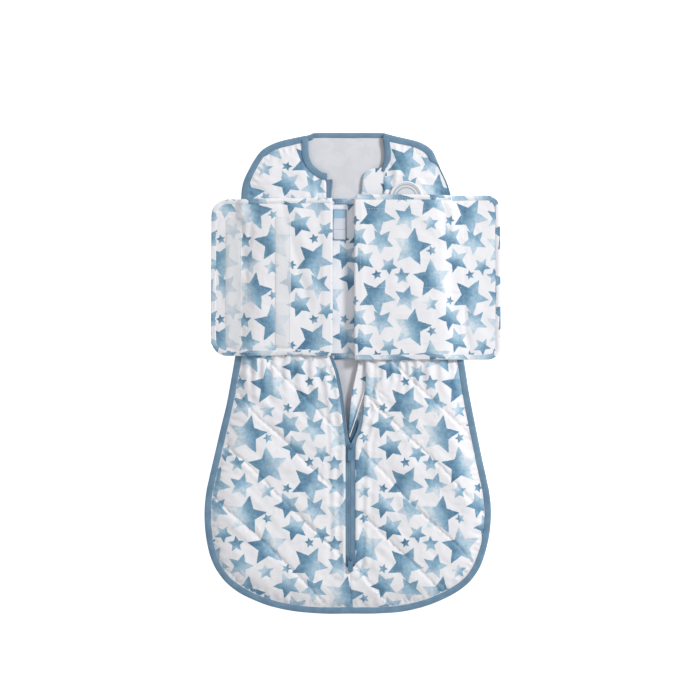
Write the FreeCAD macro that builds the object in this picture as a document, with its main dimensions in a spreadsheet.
import FreeCAD, Part
import math
import os
import Sketcher

# Baby sleeping bag with a swaddle band and a two-way zipper, lying flat on its back.
# Millimetres.  +X is the viewer's right seen from above (the wearer's left), +Y runs
# towards the head and +Z up out of the front.  The origin is on the resting plane, at
# the middle of the bag.  "Left" in a name is -X and "right" is +X.

doc = FreeCAD.newDocument("sleeping_bag")

# ---------------------------------------------------------------- driving dimensions
# alias, value, note
CELLS = [
    ("bag_length", 659.4, "overall length, neck to foot"),
    ("bag_width", 389.6, "widest point of the bell-shaped foot"),
    ("cloth", 0.8, "shell and lining cloth"),
    ("back_outer_z", 0.0, "underside of the back shell"),
    ("back_fill_z", 1.2, "underside of the back wadding"),
    ("back_loft", 5.0, "loft of the back wadding"),
    ("back_lining_z", 6.4, "underside of the back lining"),
    ("front_lining_z", 14.0, "underside of the front lining"),
    ("front_fill_z", 15.0, "underside of the front wadding"),
    ("front_loft", 4.0, "loft of the front wadding"),
    ("front_outer_z", 19.2, "underside of the front shell"),
    ("layer_inset", 1.4, "gap from the outline to the quilted layers"),
    ("lip_width", 9.0, "finished width of the binding"),
    ("lip", 1.0, "folded binding thickness"),
    ("lip_inner", 0.8, "folded binding thickness on the lining side"),
    ("edge_height", 21.2, "binding height at the side seam"),
    ("top_lip_z", 20.2, "underside of the binding's upper lip"),
    ("back_edge_height", 8.4, "binding height on the back panel alone"),
    ("back_lip_z", 7.4, "underside of the back binding's upper lip"),
    ("front_lip_z", 13.0, "underside of the front binding's lower lip"),
    ("front_edge_height", 8.2, "binding height on a front panel alone"),
    ("band_z", 7.6, "underside of the swaddle band's middle"),
    ("band_thick", 1.2, "thickness of the swaddle band"),
    ("band_half_width", 75.0, "half width of the swaddle band's middle"),
    ("band_low", 20.6, "lower edge of the swaddle band"),
    ("band_high", 239.4, "upper edge of the swaddle band"),
    ("root_z", 9.0, "underside of the band's roots"),
    ("root_rise", 15.5, "height of the roots' upright part"),
    ("root_left_low", 34.0, "lower edge of the left root, clear of the zipper's turn"),
    ("root_drop", 1.0, "roots' upper edge below the wing's"),
    ("web_left", -24.2, "left face of the left upright"),
    ("web_right", 9.0, "right face of the right upright"),
    ("web_thick", 1.0, "thickness of the uprights"),
    ("label_z", 8.95, "underside of the label and the middle binding"),
    ("label_thick", 0.35, "label thickness"),
    ("label_x", -22.6, "label's left edge"),
    ("label_width", 19.0, "label width"),
    ("label_low", 183.0, "label's lower edge"),
    ("label_height", 42.0, "label height"),
    ("mid_binding", 8.0, "binding width on the band's middle"),
    ("mid_binding_thick", 0.7, "binding thickness on the band's middle"),
    ("mid_binding_gap", 0.4, "gap from the middle binding to each upright"),
    ("guard_z", 11.6, "underside of the zipper guard"),
    ("guard_thick", 1.2, "zipper guard thickness"),
    ("zip_x", 2.0, "centre line of the closed zipper"),
    ("tape_z", 16.6, "underside of the zipper tape"),
    ("tape_thick", 0.6, "zipper tape thickness"),
    ("coil_z", 16.0, "underside of the coil"),
    ("coil_thick", 2.2, "coil thickness"),
    ("coil_width", 2.0, "width of one side's coil"),
    ("stop_z", 15.8, "underside of the zipper stops"),
    ("stop_thick", 2.8, "zipper stop thickness"),
    ("top_stop_length", 2.6, "top stop length along the zipper"),
    ("top_stop_gap", 0.15, "gap from the tape's nominal edge to a top stop"),
    ("bottom_stop_low", -262.0, "bottom stop's lower edge"),
    ("bottom_stop_half_width", 2.4, "half width of the bottom stop"),
    ("bottom_stop_length", 2.8, "bottom stop length along the zipper"),
    ("patch_x", 78.2, "chest patch centre, x"),
    ("patch_y", 240.8, "chest patch centre, y"),
    ("patch_radius", 22.6, "chest patch radius"),
    ("patch_rim", 2.2, "width of the raised rim"),
    ("patch_z", 20.15, "underside of the chest patch"),
    ("patch_thick", 0.75, "chest patch thickness"),
    ("patch_rim_thick", 0.95, "thickness at the raised rim"),
    ("wing_left_fold", -25.0, "left wing's inner edge"),
    ("wing_left_end", -190.7, "left wing's free end"),
    ("wing_left_low", 24.0, "left wing's lower edge"),
    ("wing_left_high", 238.1, "left wing's upper edge"),
    ("wing_left_corner", 22.0, "left wing's corner radius"),
    ("wing_right_fold", 9.8, "right wing's inner edge"),
    ("wing_right_end", 209.9, "right wing's free end"),
    ("wing_right_low", 18.8, "right wing's lower edge"),
    ("wing_right_high", 244.9, "right wing's upper edge"),
    ("wing_right_corner", 18.0, "right wing's corner radius"),
    ("wing_inset", 1.2, "gap from the wing's edge to its layers"),
    ("wing_binding", 7.5, "binding width on the wings"),
    ("wing_lip", 0.5, "binding thickness on the wings"),
    ("wing_wall", 0.8, "binding thickness round the wings' edge"),
    ("wing_low_lip_z", 21.5, "underside of the wings"),
    ("wing_backing_z", 22.2, "underside of the wings' backing"),
    ("wing_face_z", 23.2, "underside of the wings' face"),
    ("wing_top_lip_z", 24.2, "underside of the wings' upper lip and hook strips"),
    ("wing_height", 3.2, "thickness of a wing over its binding"),
    ("hook_thick", 1.2, "hook strip thickness"),
    ("hook_outer_x", -172.9, "outer hook strip's left edge"),
    ("hook_outer_width", 23.3, "outer hook strip width"),
    ("hook_inner_x", -101.5, "inner hook strip's left edge"),
    ("hook_inner_width", 22.0, "inner hook strip width"),
    ("hook_low", 35.0, "hook strips' lower end"),
    ("hook_height", 180.0, "hook strip length"),
    ("hook_corner", 5.0, "corner radius of the hook strips and loop patches"),
    ("loop_z", 21.35, "underside of the loop patches"),
    ("loop_thick", 0.65, "loop patch thickness"),
    ("loop_x", 14.0, "loop patches' left edge"),
    ("loop_width", 145.2, "loop patch width"),
    ("loop_upper_low", 115.9, "upper loop patch's lower edge"),
    ("loop_upper_height", 111.0, "upper loop patch height"),
    ("loop_lower_low", 39.1, "lower loop patch's lower edge"),
    ("loop_lower_height", 59.0, "lower loop patch height"),
    ("slider_length", 10.0, "zipper slider length"),
    ("slider_top_y", -100.0, "top slider's middle"),
    ("slider_bottom_y", -252.0, "bottom slider's middle"),
    ("slider_plate", 0.9, "slider plate thickness"),
    ("slider_low_z", 14.9, "underside of the slider's lower plate"),
    ("slider_high_z", 18.7, "underside of the slider's upper plate"),
    ("slider_post", 2.95, "length of the post between the plates"),
    ("post_overlap", 0.05, "depth of the post's foot in the lower plate"),
    ("slider_flange_z", 17.5, "lower edge of the slider's flanges"),
    ("slider_flange", 1.25, "flange height"),
    ("bridge_x", 1.2, "left face of the bridge"),
    ("bridge_width", 1.6, "width of the bridge"),
    ("bridge_half", 3.0, "half length of the bridge"),
    ("bridge_top_z", 22.7, "top of the bridge"),
    ("pull_z", 20.3, "underside of the pull tab"),
    ("pull_thick", 1.0, "pull tab thickness"),
    ("pull_length", 20.0, "pull tab length from its pivot"),
    ("pull_half", 3.5, "half width of the pull tab"),
]

sheet = doc.addObject("Spreadsheet::Sheet", "Sheet")
for row, (alias, value, note) in enumerate(CELLS, 1):
    sheet.set("A%d" % row, note)
    sheet.set("B%d" % row, repr(float(value)))
    sheet.setAlias("B%d" % row, alias)
doc.recompute()


def size(alias):
    return float(getattr(sheet, alias))


def evaluate(expression):
    """Value of a sum of products, such as "2 * Sheet.lip - 0.8"."""
    total = 0.0
    for term in expression.replace("-", "+-").split("+"):
        term = term.strip()
        if not term:
            continue
        product = 1.0
        if term.startswith("-"):
            product, term = -1.0, term[1:]
        for factor in term.split("*"):
            factor = factor.strip()
            product *= size(factor[6:]) if factor.startswith("Sheet.") else float(factor)
        total += product
    return total


LEFT, RIGHT = -1, 1
WORD = {LEFT: "left", RIGHT: "right"}

LENGTH = size("bag_length")
HALF_WIDTH = size("bag_width") / 2.0
TOP_Y = LENGTH / 2.0 - 0.3
BOTTOM_Y = TOP_Y - LENGTH
INSET = size("layer_inset")
LIP_WIDTH = size("lip_width")

# ------------------------------------------------------------------ plan-view tables
# Every table holds (x, y) points drawn for a bag of this size.
TABLE_LENGTH = 659.4
TABLE_HALF_WIDTH = 194.8


def scaled(points):
    """Fit table points to the bag's driving length and width."""
    scale_x = HALF_WIDTH / TABLE_HALF_WIDTH
    scale_y = LENGTH / TABLE_LENGTH
    return [(x * scale_x, y * scale_y) for x, y in points]


# right edge of the bag, from the shoulder to the middle of the foot
SIDE = scaled([
    (48.0, 329.4), (60.5, 325.9), (80.0, 321.6), (99.5, 316.3), (116.5, 306.6),
    (125.5, 293.0), (131.7, 279.2), (138.6, 262.0), (142.6, 240.8), (144.2, 215.0),
    (144.8, 194.0), (146.0, 150.0), (149.0, 95.0), (153.0, 50.0), (156.3, 22.6),
    (165.8, -32.2), (173.5, -72.0), (181.5, -111.8), (189.0, -146.0), (192.8, -166.0),
    (194.8, -190.0), (193.8, -212.0), (190.6, -233.0), (185.0, -253.0), (176.5, -271.0),
    (164.5, -287.0), (148.0, -300.0), (127.0, -311.0), (103.0, -320.3), (74.0, -326.8),
    (40.0, -329.8), (0.0, -330.0),
])
UNDERARM_Y = 194.0 * LENGTH / TABLE_LENGTH

# zipper edges of the front panels, neck to foot
ZIP_EDGE = {
    LEFT: scaled([
        (-31.0, 273.6), (-31.0, 34.0), (-27.4, 24.0), (-19.6, 4.0), (-15.6, -14.0),
        (-13.2, -28.0), (-11.4, -42.0), (-8.9, -62.8), (-6.7, -81.2), (-5.2, -92.0),
        (-4.6, -100.0), (-4.6, -262.0), (1.8, -268.0), (1.8, -330.0),
    ]),
    RIGHT: scaled([
        (48.0, 276.9), (47.5, 240.0), (40.0, 160.0), (28.5, 70.0), (23.0, 22.6),
        (23.0, -14.0), (20.8, -31.0), (20.0, -42.0), (18.8, -66.0), (16.0, -77.5),
        (10.2, -91.0), (8.6, -100.0), (8.6, -262.0), (2.2, -268.0), (2.2, -330.0),
    ]),
}

# neck curves of the front panels, zipper to shoulder
NECK = {
    LEFT: scaled([
        (-29.4, 273.6), (-40.9, 274.5), (-48.6, 285.1), (-54.0, 294.0), (-56.2, 302.5),
        (-56.2, 324.0),
    ]),
    RIGHT: scaled([
        (47.6, 277.5), (48.4, 290.0), (48.6, 302.5), (47.4, 313.0), (45.7, 325.5),
    ]),
}

# zipper guard: upper edge, left edge downwards, lower end, right edge upwards
GUARD = scaled([
    (58.0, 283.0), (47.0, 283.0), (38.0, 282.0), (29.0, 280.4), (23.4, 277.6),
    (19.6, 271.5), (18.2, 262.0), (17.4, 247.0), (12.4, 238.0), (10.6, 228.0),
    (10.6, 24.0), (12.4, 12.0), (8.5, -6.0), (4.2, -25.0), (2.3, -40.0),
    (0.0, -66.0), (-1.0, -88.0), (6.0, -97.0), (18.0, -97.0), (30.0, -66.0),
    (44.0, -18.0), (52.0, 24.0), (57.0, 180.0),
])


# ------------------------------------------------------------------------ point lines
def smooth(points, steps):
    """Catmull-Rom curve through the points, with some steps in each span."""
    line = []
    last = len(points) - 1
    for i in range(last):
        before, start = points[max(i - 1, 0)], points[i]
        end, after = points[i + 1], points[min(i + 2, last)]
        for k in range(steps):
            t = k / float(steps)
            spot = []
            for axis in range(2):
                leave = (end[axis] - before[axis]) / 2.0
                arrive = (after[axis] - start[axis]) / 2.0
                spot.append((2 * t ** 3 - 3 * t ** 2 + 1) * start[axis]
                            + (t ** 3 - 2 * t ** 2 + t) * leave
                            + (-2 * t ** 3 + 3 * t ** 2) * end[axis]
                            + (t ** 3 - t ** 2) * arrive)
            line.append(tuple(spot))
    line.append(points[-1])
    return line


def offset_line(points, distance, turn):
    """Move an open line sideways; turn +1 is to the left of its direction."""
    line = []
    for i, (x, y) in enumerate(points):
        before = points[max(i - 1, 0)]
        after = points[min(i + 1, len(points) - 1)]
        run_x, run_y = after[0] - before[0], after[1] - before[1]
        run = math.hypot(run_x, run_y) or 1.0
        line.append((x - turn * distance * run_y / run, y + turn * distance * run_x / run))
    return line


def shift(points, distance):
    return [(x + distance, y) for x, y in points]


def thin(points, count):
    """Keep about count points, and both ends."""
    if len(points) <= count:
        return points
    step = (len(points) - 1) / float(count - 1)
    return [points[int(round(i * step))] for i in range(count)]


def with_mirror(right):
    """A right-hand line that ends on the centre line, carried on up the left side."""
    return right + [(-x, y) for x, y in reversed(right)][1:]


SIDE_CURVE = smooth(SIDE, 4)
NECK_CURVE = {side: smooth(NECK[side], 5) for side in (LEFT, RIGHT)}


def side_line(depth, side=RIGHT):
    """One edge of the bag moved inwards, shoulder to the middle of the foot."""
    line = offset_line(SIDE_CURVE, depth, -1)
    line[-1] = (0.0, BOTTOM_Y + depth)
    return [(side * x, y) for x, y in line]


# ---------------------------------------------------------------------- closed outlines
# An outline is a list of (kind, points) segments, kind being "line" or "spline".
TOUCHING = 1e-6


def apart(a, b):
    return math.hypot(a[0] - b[0], a[1] - b[1]) > TOUCHING


def line_chain(points):
    return [("line", [a, b]) for a, b in zip(points[:-1], points[1:]) if apart(a, b)]


def spline(points):
    return [("spline", list(points))]


def closed(*parts):
    """Join segment lists end to end, with straight lines over the gaps."""
    outline = []
    for part in parts:
        if outline and apart(outline[-1][1][-1], part[0][1][0]):
            outline.append(("line", [outline[-1][1][-1], part[0][1][0]]))
        outline += part
    first, last = outline[0][1][0], outline[-1][1][-1]
    if apart(first, last):
        outline.append(("line", [last, first]))
    return outline


def polygon(points):
    return closed(line_chain(points))


def box_outline(x0, y0, x1, y1):
    return polygon([(x0, y0), (x1, y0), (x1, y1), (x0, y1)])


def strip(line_at, width, curve):
    """Band between the edge line and the same line moved in by width."""
    return closed(curve(line_at(0.0)), curve(list(reversed(line_at(width)))))


# ------------------------------------------------------------------- PartDesign helpers
def new_body(name):
    return doc.addObject("PartDesign::Body", name)


def new_sketch(body, tag, offset, role="XY_Plane"):
    """Sketch on an origin plane, lifted along its normal by an expression."""
    base = next(f for f in body.Origin.OriginFeatures if f.Role == role)
    sketch = body.newObject("Sketcher::SketchObject", body.Name + "_" + tag)
    sketch.AttachmentSupport = [(base, "")]
    sketch.MapMode = "FlatFace"
    sketch.setExpression("AttachmentOffset.Base.z", offset)
    return sketch


def draw(sketch, outline):
    for kind, points in outline:
        vectors = [FreeCAD.Vector(x, y, 0) for x, y in points]
        if kind == "line":
            sketch.addGeometry(Part.LineSegment(*vectors), False)
        else:
            curve = Part.BSplineCurve()
            curve.interpolate(vectors)
            sketch.addGeometry(curve, False)


def pad(body, sketch, length):
    feature = body.newObject("PartDesign::Pad", "Pad_" + sketch.Name)
    feature.Profile = sketch
    feature.setExpression("Length", length)
    body.Tip = feature
    return feature


def add_layer(body, tag, outlines, z, thickness):
    """Pad closed outlines upwards from z; an outline inside another is a hole."""
    sketch = new_sketch(body, tag, z)
    for outline in outlines:
        draw(sketch, outline)
    pad(body, sketch, thickness)


def flat_piece(name, outline, z, thickness):
    add_layer(new_body(name), "outline", [outline], z, thickness)


def bind(sketch, expression, kind, *references):
    """Add a dimension constraint driven by an expression."""
    index = sketch.addConstraint(Sketcher.Constraint(kind, *references, evaluate(expression)))
    sketch.setExpression("Constraints[%d]" % index, expression)


def add_rectangle(body, tag, z, thickness, x, y, width, height):
    """Pad a rectangle whose place and size are constrained to expressions."""
    sketch = new_sketch(body, tag, z)
    x0, y0 = evaluate(x), evaluate(y)
    x1, y1 = x0 + evaluate(width), y0 + evaluate(height)
    corners = [FreeCAD.Vector(*c, 0) for c in ((x0, y0), (x1, y0), (x1, y1), (x0, y1))]
    for i in range(4):
        sketch.addGeometry(Part.LineSegment(corners[i], corners[(i + 1) % 4]), False)
    for i in range(4):
        sketch.addConstraint(Sketcher.Constraint("Coincident", i, 2, (i + 1) % 4, 1))
    for kind, line in (("Horizontal", 0), ("Horizontal", 2), ("Vertical", 1), ("Vertical", 3)):
        sketch.addConstraint(Sketcher.Constraint(kind, line))
    bind(sketch, x, "DistanceX", -1, 1, 0, 1)
    bind(sketch, y, "DistanceY", -1, 1, 0, 1)
    bind(sketch, width, "DistanceX", 0, 1, 0, 2)
    bind(sketch, height, "DistanceY", 1, 1, 1, 2)
    return pad(body, sketch, thickness)


def rectangle_piece(name, z, thickness, x, y, width, height, corner=None):
    """Rectangular piece, with its upright edges rounded if a corner radius is given."""
    body = new_body(name)
    feature = add_rectangle(body, "outline", z, thickness, x, y, width, height)
    if corner is None:
        return
    doc.recompute()
    upright = []
    for i, edge in enumerate(feature.Shape.Edges, 1):
        a, b = edge.Vertexes[0].Point, edge.Vertexes[-1].Point
        if abs(a.x - b.x) < TOUCHING and abs(a.y - b.y) < TOUCHING:
            upright.append("Edge%d" % i)
    fillet = body.newObject("PartDesign::Fillet", name + "_corners")
    fillet.Base = (feature, upright)
    fillet.setExpression("Radius", corner)
    body.Tip = fillet


def compound(name, members):
    group = doc.addObject("Part::Compound", name)
    group.Links = members


# --------------------------------------------------------------------- quilted layers
SHELL_GAP = 0.4         # back shell's edge inside the binding's lower lip
SHOULDER_CLEAR = 4.0    # side points this close to the neck's x are left out
SHOULDER_SLOPE = 0.22   # rise of the shoulder from the side curve to the neck
CREST_CLEAR = 0.5       # neck points end this far below the crest
FOOT_Y = -250.0         # below here, side points this close
FOOT_CLEAR = 6.0        # to the zipper edge are left out
NECK_START_LEFT = 1.0   # x gap from the zipper edge to the left neck curve
NECK_START_RIGHT = 0.3  # y gap from the zipper edge to the right neck curve


def back_outline(depth):
    return closed(spline(with_mirror(thin(side_line(depth), 62))))


def front_outline(side, edge_gap):
    """One front panel: zipper edge, neck curve, shoulder, side and foot."""
    edge = shift(ZIP_EDGE[side], side * edge_gap)
    neck = offset_line(NECK_CURVE[side], INSET, -side)
    neck_x = neck[-1][0]
    foot = (edge[-1][0], BOTTOM_Y + INSET)

    outer = [p for p in side_line(INSET, side)
             if (abs(p[0]) > abs(neck_x) + SHOULDER_CLEAR or p[1] < 0.0)
             and (p[1] > FOOT_Y or abs(p[0]) > abs(foot[0]) + FOOT_CLEAR)]

    # the neck curve starts at the zipper edge
    if side == LEFT:
        start = (edge[0][0], neck[0][1])
        neck = [p for p in neck if p[0] < start[0] - NECK_START_LEFT]
    else:
        start = edge[0]
        neck = [p for p in neck if p[1] > start[1] + NECK_START_RIGHT]

    # and it ends at the crest of the shoulder
    crest_y = outer[0][1] + SHOULDER_SLOPE * abs(abs(outer[0][0]) - abs(neck_x))
    crest = (neck_x, crest_y)
    neck = [p for p in neck[:-1] if p[1] < crest_y - CREST_CLEAR]

    inner = [foot] + list(reversed(edge[1:-1])) + [start] + neck + [crest]
    return closed(line_chain(inner), spline([crest] + thin(outer, 56) + [foot]))


def build_layers():
    flat_piece("back_outer_shell", back_outline(LIP_WIDTH + SHELL_GAP),
               "Sheet.back_outer_z", "Sheet.cloth")
    flat_piece("back_fill", back_outline(INSET), "Sheet.back_fill_z", "Sheet.back_loft")
    flat_piece("back_lining", back_outline(INSET), "Sheet.back_lining_z", "Sheet.cloth")
    # layer, gap to the zipper edge, underside, thickness
    for layer, edge_gap, z, thickness in (
            ("lining", 2.0, "Sheet.front_lining_z", "Sheet.cloth"),
            ("fill", 8.0, "Sheet.front_fill_z", "Sheet.front_loft"),
            ("outer_shell", 0.0, "Sheet.front_outer_z", "Sheet.cloth")):
        for side in (LEFT, RIGHT):
            flat_piece("front_%s_%s" % (WORD[side], layer), front_outline(side, edge_gap),
                       z, thickness)


# --------------------------------------------------------------------------- bindings
def fold(low_z, low_thick, high_z, high_thick, height, wall="lip", width="lip_width"):
    """Section of a folded tape, by the aliases of its heights and widths."""
    return {
        "wall": (wall, low_z, height),
        "lower_lip": (width, low_z, low_thick),
        "upper_lip": (width, high_z, high_thick),
    }


SEAM_FOLD = fold("back_outer_z", "lip", "top_lip_z", "lip", "edge_height")
FRONT_FOLD = fold("front_lip_z", "lip_inner", "top_lip_z", "lip", "front_edge_height")
BACK_FOLD = fold("back_outer_z", "lip", "back_lip_z", "lip", "back_edge_height")
WING_FOLD = fold("wing_low_lip_z", "wing_lip", "wing_top_lip_z", "wing_lip", "wing_height",
                 wall="wing_wall", width="wing_binding")

# ends of the bindings
PERIMETER_TOP = UNDERARM_Y - 1.0
ARMHOLE_END = UNDERARM_Y + 0.6
UNDERARM_CLEAR = 0.5    # side points this close to the underarm are left out
FRONT_ARMHOLE_X = {LEFT: 58.0, RIGHT: 47.5}
BACK_ARMHOLE_X = {LEFT: 49.5, RIGHT: 49.5}
NECK_TOP = {LEFT: 314.5, RIGHT: 315.5}


def folded_binding(name, line_at, section, curve=spline):
    """Folded edge tape: a wall round the edge with a lip on each face.
    line_at(depth) is the edge moved inwards by depth."""
    body = new_body(name)
    for tag, (width, z, thickness) in section.items():
        add_layer(body, tag, [strip(line_at, size(width), curve)],
                  "Sheet." + z, "Sheet." + thickness)


def perimeter_line(depth):
    """Underarm to underarm round the foot."""
    right = [p for p in side_line(depth) if p[1] <= UNDERARM_Y - UNDERARM_CLEAR]
    right[0] = (right[0][0], PERIMETER_TOP)
    return thin(with_mirror(right), 90)


def armhole_line(side, depth, start_x):
    """Shoulder to underarm."""
    line = [p for p in side_line(depth)
            if p[1] > UNDERARM_Y + UNDERARM_CLEAR and p[0] > start_x]
    line.append((line[-1][0], ARMHOLE_END))
    return [(side * x, y) for x, y in line]


def back_neck_line(depth):
    """Straight across the back of the neck, right to left."""
    half = SIDE[0][0]
    return [(half * part, TOP_Y - depth) for part in (1.0, 0.4, -0.4, -1.0)]


def front_neck_line(side, depth):
    return [p for p in offset_line(NECK_CURVE[side], depth, -side) if p[1] < NECK_TOP[side]]


def build_bindings():
    folded_binding("perimeter_binding", perimeter_line, SEAM_FOLD)
    folded_binding("neck_binding_back", back_neck_line, BACK_FOLD)
    for side in (LEFT, RIGHT):
        for panel, section, start_x in (("front", FRONT_FOLD, FRONT_ARMHOLE_X[side]),
                                        ("back", BACK_FOLD, BACK_ARMHOLE_X[side])):
            folded_binding("armhole_binding_%s_%s" % (panel, WORD[side]),
                           lambda depth: armhole_line(side, depth, start_x), section)
        folded_binding("neck_binding_" + WORD[side],
                       lambda depth: front_neck_line(side, depth), FRONT_FOLD)


# ----------------------------------------------------------------------------- zipper
TAPE_UNDER = 7.4        # tape's reach under the panel from the zipper edge
TAPE_OUT = 4.2          # nominal reach of the tape out past the zipper edge
TAPE_COIL_GAP = 0.05    # half the gap between tape and coil
COIL_OUT = TAPE_OUT + size("coil_width")
ZIP_TOP = {LEFT: 266.0, RIGHT: 276.0}
TAPE_END = -261.8
COIL_END = -258.5
COIL_DROP = 3.0         # coil's top below the tape's
TOP_STOP_DROP = 2.8     # top stops' lower edge below the tape's top


def zip_ribbon(side, top, end, start, reach):
    """Ribbon along a zipper edge; start and reach are measured out past the edge."""
    edge = ZIP_EDGE[side]
    line = [(edge[0][0], top)] + [p for p in edge[1:] if end < p[1] < top]
    line.append((edge[-3][0], end))
    return closed(line_chain(shift(line, -side * start)),
                  line_chain(list(reversed(shift(line, -side * reach)))))


def top_stop(side):
    stop = doc.addObject("Part::Box", "top_stop_" + WORD[side])
    edge_x = ZIP_EDGE[side][0][0]
    near = edge_x - side * (TAPE_OUT + size("top_stop_gap"))
    far = edge_x - side * COIL_OUT
    stop.setExpression("Length", "Sheet.coil_width - Sheet.top_stop_gap")
    stop.setExpression("Width", "Sheet.top_stop_length")
    stop.setExpression("Height", "Sheet.stop_thick")
    stop.Placement.Base = FreeCAD.Vector(min(near, far), ZIP_TOP[side] - TOP_STOP_DROP, 0)
    stop.setExpression("Placement.Base.z", "Sheet.stop_z")
    return stop


def build_zipper():
    for side in (LEFT, RIGHT):
        top = ZIP_TOP[side]
        flat_piece("zipper_tape_" + WORD[side],
                   zip_ribbon(side, top, TAPE_END, -TAPE_UNDER, TAPE_OUT - TAPE_COIL_GAP),
                   "Sheet.tape_z", "Sheet.tape_thick")
        flat_piece("zipper_coil_" + WORD[side],
                   zip_ribbon(side, top - COIL_DROP, COIL_END, TAPE_OUT + TAPE_COIL_GAP, COIL_OUT),
                   "Sheet.coil_z", "Sheet.coil_thick")
    compound("zipper_top_stops", [top_stop(LEFT), top_stop(RIGHT)])
    rectangle_piece("zipper_bottom_stop", "Sheet.stop_z", "Sheet.stop_thick",
                    "Sheet.zip_x - Sheet.bottom_stop_half_width", "Sheet.bottom_stop_low",
                    "2 * Sheet.bottom_stop_half_width", "Sheet.bottom_stop_length")
    flat_piece("zipper_guard", polygon(GUARD), "Sheet.guard_z", "Sheet.guard_thick")


# ----------------------------------------------------------------------- swaddle band
def band_root(side, flat_x, flat_width, web_x, low):
    """The band from its middle to a wing: a flat part and an upright part."""
    body = new_body("wrap_root_" + WORD[side])
    height = "Sheet.wing_%s_high - %s - Sheet.root_drop" % (WORD[side], low)
    add_rectangle(body, "flat", "Sheet.root_z", "Sheet.band_thick",
                  flat_x, low, flat_width, height)
    add_rectangle(body, "upright", "Sheet.root_z", "Sheet.root_rise",
                  web_x, low, "Sheet.web_thick", height)


def middle_binding(tag, low):
    tape = doc.addObject("Part::Box", "mid_binding_" + tag)
    tape.setExpression("Length", "Sheet.web_right - Sheet.web_left - 2 * Sheet.web_thick"
                       " - 2 * Sheet.mid_binding_gap")
    tape.setExpression("Width", "Sheet.mid_binding")
    tape.setExpression("Height", "Sheet.mid_binding_thick")
    tape.setExpression("Placement.Base.x",
                       "Sheet.web_left + Sheet.web_thick + Sheet.mid_binding_gap")
    tape.setExpression("Placement.Base.y", low)
    tape.setExpression("Placement.Base.z", "Sheet.label_z")
    return tape


def build_band():
    rectangle_piece("wrap_center_panel", "Sheet.band_z", "Sheet.band_thick",
                    "-1 * Sheet.band_half_width", "Sheet.band_low",
                    "2 * Sheet.band_half_width", "Sheet.band_high - Sheet.band_low")
    band_root(LEFT, flat_x="-1 * Sheet.band_half_width",
              flat_width="Sheet.web_left + Sheet.web_thick + Sheet.band_half_width",
              web_x="Sheet.web_left", low="Sheet.root_left_low")
    band_root(RIGHT, flat_x="Sheet.web_right - Sheet.web_thick",
              flat_width="Sheet.band_half_width - Sheet.web_right + Sheet.web_thick",
              web_x="Sheet.web_right - Sheet.web_thick", low="Sheet.band_low")
    compound("wrap_center_binding", [
        middle_binding("upper", "Sheet.band_high - Sheet.mid_binding"),
        middle_binding("lower", "Sheet.band_low"),
    ])
    rectangle_piece("instruction_label", "Sheet.label_z", "Sheet.label_thick",
                    "Sheet.label_x", "Sheet.label_low", "Sheet.label_width",
                    "Sheet.label_height")


# ------------------------------------------------------------------------ chest patch
def patch_circle(sketch, radius):
    centre = FreeCAD.Vector(size("patch_x"), size("patch_y"), 0)
    circle = Part.Circle(centre, FreeCAD.Vector(0, 0, 1), evaluate(radius))
    index = sketch.addGeometry(circle, False)
    bind(sketch, "Sheet.patch_x", "DistanceX", -1, 1, index, 3)
    bind(sketch, "Sheet.patch_y", "DistanceY", -1, 1, index, 3)
    bind(sketch, radius, "Radius", index)


def build_chest_patch():
    """A disc with a thicker ring round its rim."""
    body = new_body("chest_patch")
    disc = new_sketch(body, "disc", "Sheet.patch_z")
    patch_circle(disc, "Sheet.patch_radius")
    pad(body, disc, "Sheet.patch_thick")
    ring = new_sketch(body, "ring", "Sheet.patch_z")
    patch_circle(ring, "Sheet.patch_radius")
    patch_circle(ring, "Sheet.patch_radius - Sheet.patch_rim")
    pad(body, ring, "Sheet.patch_rim_thick")


# ------------------------------------------------------------------------------ wings
FOLD_GAP = 0.3          # gap from the fold to the wing's layers
CORNER_STEPS = 8        # straight steps round a wing's corner


def wing_line(side, depth, fold_gap=0.0):
    """Free edges of a wing moved inwards by depth: upper, outer, lower."""
    fold_x, end, low, high, corner = [
        size("wing_%s_%s" % (WORD[side], part))
        for part in ("fold", "end", "low", "high", "corner")]
    radius = max(corner - depth, 1.0)
    fold_x += side * fold_gap
    low, high = low + depth, high - depth
    centre_x = end - side * depth - side * radius
    line = [(fold_x, high)]
    for centre_y, start in ((high - radius, 90.0), (low + radius, 0.0)):
        for k in range(CORNER_STEPS + 1):
            angle = math.radians(start - 90.0 * k / CORNER_STEPS)
            line.append((centre_x + side * radius * math.cos(angle),
                         centre_y + radius * math.sin(angle)))
    line.append((fold_x, low))
    return line


def build_wings():
    for side in (LEFT, RIGHT):
        for layer in ("backing", "face"):
            flat_piece("%s_wing_%s" % (WORD[side], layer),
                       polygon(wing_line(side, size("wing_inset"), FOLD_GAP)),
                       "Sheet.wing_%s_z" % layer, "Sheet.cloth")
        folded_binding("%s_wing_binding" % WORD[side], lambda depth: wing_line(side, depth),
                       WING_FOLD, curve=line_chain)


def build_fasteners():
    """Hook strips on the left wing and loop patches at the right wing's underside."""
    for place in ("outer", "inner"):
        rectangle_piece("hook_strip_" + place, "Sheet.wing_top_lip_z", "Sheet.hook_thick",
                        "Sheet.hook_%s_x" % place, "Sheet.hook_low",
                        "Sheet.hook_%s_width" % place, "Sheet.hook_height",
                        corner="Sheet.hook_corner")
    for place in ("upper", "lower"):
        rectangle_piece("loop_patch_" + place, "Sheet.loop_z", "Sheet.loop_thick",
                        "Sheet.loop_x", "Sheet.loop_%s_low" % place,
                        "Sheet.loop_width", "Sheet.loop_%s_height" % place,
                        corner="Sheet.hook_corner")


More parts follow.
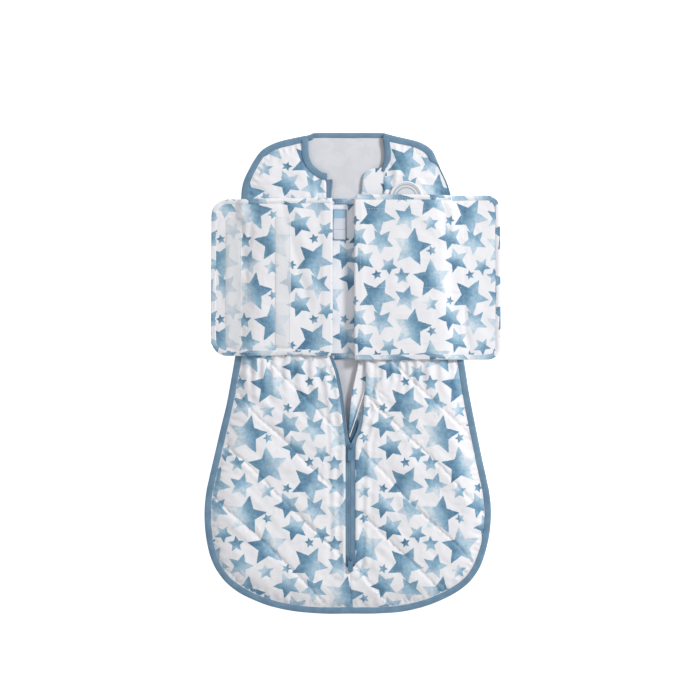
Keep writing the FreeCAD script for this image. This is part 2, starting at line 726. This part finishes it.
# ------------------------------------------------------------------ sliders and pulls
POST_HALF_WIDTH = 0.25
POST_HALF_LENGTH = 1.0
POST_FORWARD = 2.0      # post's centre from the slider's middle, towards the mouth
FLANGES = (("left", -3.85, -3.0), ("right", 3.0, 3.85))    # tag, x range
FLANGE_BACK = 3.0       # flange's reach away from the mouth
FLANGE_FRONT = 1.6      # flange's reach towards the mouth
BRIDGE_OVERLAP = 0.1    # depth of the bridge's feet in the upper plate
BRIDGE_LEG = 1.2        # length of each leg along the slider
BRIDGE_BEAM = 0.9       # thickness of the bridge's top
BRIDGE_BEVEL = 1.8      # from the bridge's ends to the flat of its top


def bridge_outline(centre_y):
    """Side view of the bridge, as (y, z) points."""
    half = size("bridge_half")
    top = size("bridge_top_z")
    foot = size("slider_high_z") + size("slider_plate") - BRIDGE_OVERLAP
    flat = half - BRIDGE_BEVEL
    leg = half - BRIDGE_LEG
    outer = [(half, foot), (half, foot + 1.6), (half - 1.0, top - 0.3), (flat, top)]
    inner = [(leg, foot), (leg, foot + 1.8), (flat, top - BRIDGE_BEAM)]
    arch = [(-y, z) for y, z in outer] + outer[::-1]
    arch += inner + [(-y, z) for y, z in reversed(inner)]
    return polygon([(centre_y + y, z) for y, z in arch])


def build_slider(name, centre, mouth):
    """Two plates, a thin post, side flanges and a bridge.
    mouth is +1 if the open end faces the head and -1 if it faces the foot."""
    body = new_body(name)
    zip_x, centre_y = size("zip_x"), size(centre)
    half = size("slider_length") / 2.0
    edge = [(3.2, -half), (3.9, -half + 1.5), (4.0, half - 2.6), (2.6, half)]
    plate = polygon([(zip_x + x, centre_y + mouth * y)
                     for x, y in edge + [(-x, y) for x, y in reversed(edge)]])
    add_layer(body, "lower_plate", [plate], "Sheet.slider_low_z", "Sheet.slider_plate")
    post_y = centre_y + mouth * POST_FORWARD
    post = box_outline(zip_x - POST_HALF_WIDTH, post_y - POST_HALF_LENGTH,
                       zip_x + POST_HALF_WIDTH, post_y + POST_HALF_LENGTH)
    add_layer(body, "post", [post],
              "Sheet.slider_low_z + Sheet.slider_plate - Sheet.post_overlap",
              "Sheet.slider_post")
    add_layer(body, "upper_plate", [plate], "Sheet.slider_high_z", "Sheet.slider_plate")
    for tag, x0, x1 in FLANGES:
        flange = box_outline(zip_x + x0, centre_y - mouth * FLANGE_BACK,
                             zip_x + x1, centre_y + mouth * FLANGE_FRONT)
        add_layer(body, "flange_" + tag, [flange],
                  "Sheet.slider_flange_z", "Sheet.slider_flange")
    bridge = new_sketch(body, "bridge", "Sheet.bridge_x", "YZ_Plane")
    draw(bridge, bridge_outline(centre_y))
    pad(body, bridge, "Sheet.bridge_width")


def build_pull(name, centre):
    """Pull tab lying towards the foot: a window round the bridge and a round end."""
    zip_x, centre_y = size("zip_x"), size(centre)
    half = size("pull_half")
    round_y = -(size("pull_length") - half)
    right = [(2.5, 0.5), (2.6, -3.0), (3.0, -6.0), (half - 0.2, -9.0), (half, -13.0)]
    for k in range(1, 9):
        angle = math.radians(90.0 * k / 8.0)
        right.append((half * math.cos(angle), round_y - half * math.sin(angle)))
    blade = polygon([(zip_x + x, centre_y + y) for x, y in with_mirror(right)])
    window = box_outline(zip_x - 1.25, centre_y - 4.6, zip_x + 1.25, centre_y - 0.5)
    add_layer(new_body(name), "blade", [blade, window], "Sheet.pull_z", "Sheet.pull_thick")


# ------------------------------------------------------------------------------ build
build_layers()
build_bindings()
build_zipper()
build_band()
build_chest_patch()
build_wings()
build_fasteners()
for end, mouth in (("top", 1), ("bottom", -1)):
    build_slider(end + "_slider", "slider_%s_y" % end, mouth)
    build_pull(end + "_pull_tab", "slider_%s_y" % end)
doc.recompute()

# ------------------------------------------------------------------- check and export
nodes = [o for o in doc.Objects if o.TypeId in ("PartDesign::Body", "Part::Compound")]
faults = ["%s %s" % (o.Name, o.State) for o in doc.Objects
          if "Invalid" in o.State or "Error" in o.State]
for node in nodes:
    if node.Shape.isNull() or not node.Shape.isValid() or not node.Shape.Solids:
        faults.append("%s has no valid solid" % node.Label)
    elif node.TypeId == "PartDesign::Body" and len(node.Shape.Solids) != 1:
        faults.append("%s has %d solids" % (node.Label, len(node.Shape.Solids)))
if faults:
    raise RuntimeError("; ".join(faults))

os.makedirs("parts", exist_ok=True)
for node in nodes:
    shape = node.Shape
    if node.TypeId == "PartDesign::Body":
        shape = shape.Solids[0]
    shape.exportStep("parts/%s.step" % node.Label)
